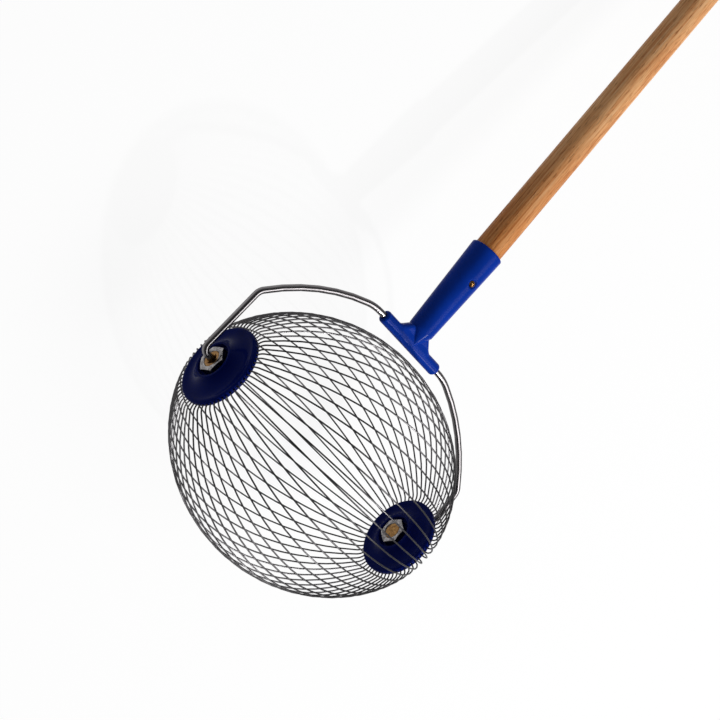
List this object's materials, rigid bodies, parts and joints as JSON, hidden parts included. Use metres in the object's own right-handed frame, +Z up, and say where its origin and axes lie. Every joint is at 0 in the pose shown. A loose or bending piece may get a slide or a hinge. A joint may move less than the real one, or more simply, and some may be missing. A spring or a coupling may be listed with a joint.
{
  "type": "rolling nut gatherer",
  "caption": "Long-handled rolling gatherer: a barrel of springy wires spins in a bent rod yoke and takes in fallen nuts between the wires.",
  "frame": {"origin": "on the ground, under the middle of the tool's box as it lies: the basket on two of its wires and the handle's end on the ground", "axes": "+Z up, X along the basket's axle, +Y from the basket towards the handle's free end"},
  "size_m": [0.3468, 1.3424, 0.2468],
  "materials": {
    "ash_wood": "thin clear lacquer",
    "blue_plastic": "glossy moulded royal blue",
    "navy_plastic": "glossy moulded navy blue",
    "rod_steel": "bright drawn rod",
    "wire_steel": "bright spring wire",
    "zinc_steel": "bright zinc plate",
    "brass": "turned"
  },
  "bodies": {
    "yoke": {"handle": "ash_wood", "handle_screw": "brass", "tee_head": "blue_plastic", "yoke_rod": "rod_steel"},
    "basket": {"left_hub_cap": "navy_plastic", "right_hub_cap": "navy_plastic", "left_hub_plate": "navy_plastic", "right_hub_plate": "navy_plastic", "left_axle_bush": "brass", "right_axle_bush": "brass", "left_outer_nut": "zinc_steel", "right_outer_nut": "zinc_steel", "left_inner_nut": "zinc_steel", "right_inner_nut": "zinc_steel", "basket_wires_1": "wire_steel", "basket_wires_2": "wire_steel", "basket_wires_3": "wire_steel", "basket_wires_4": "wire_steel", "basket_wires_5": "wire_steel", "basket_wires_6": "wire_steel", "basket_wires_7": "wire_steel", "basket_wires_8": "wire_steel", "basket_wires_9": "wire_steel", "basket_wires_10": "wire_steel", "basket_wires_11": "wire_steel", "basket_wires_12": "wire_steel", "basket_wires_13": "wire_steel", "basket_wires_14": "wire_steel", "basket_wires_15": "wire_steel", "basket_wires_16": "wire_steel", "basket_wires_17": "wire_steel", "basket_wires_18": "wire_steel", "basket_wires_19": "wire_steel", "basket_wires_20": "wire_steel", "basket_wires_21": "wire_steel", "basket_wires_22": "wire_steel", "basket_wires_23": "wire_steel", "basket_wires_24": "wire_steel", "basket_wires_25": "wire_steel", "basket_wires_26": "wire_steel", "basket_wires_27": "wire_steel", "basket_wires_28": "wire_steel", "basket_wires_29": "wire_steel", "basket_wires_30": "wire_steel"}
  },
  "joints": [
    {"name": "basket_spin", "type": "hinge", "parent": "yoke", "child": "basket", "pos_m": [0, -0.54784, 0.12338], "axis": [1, 0, 0], "continuous": true}
  ]
}
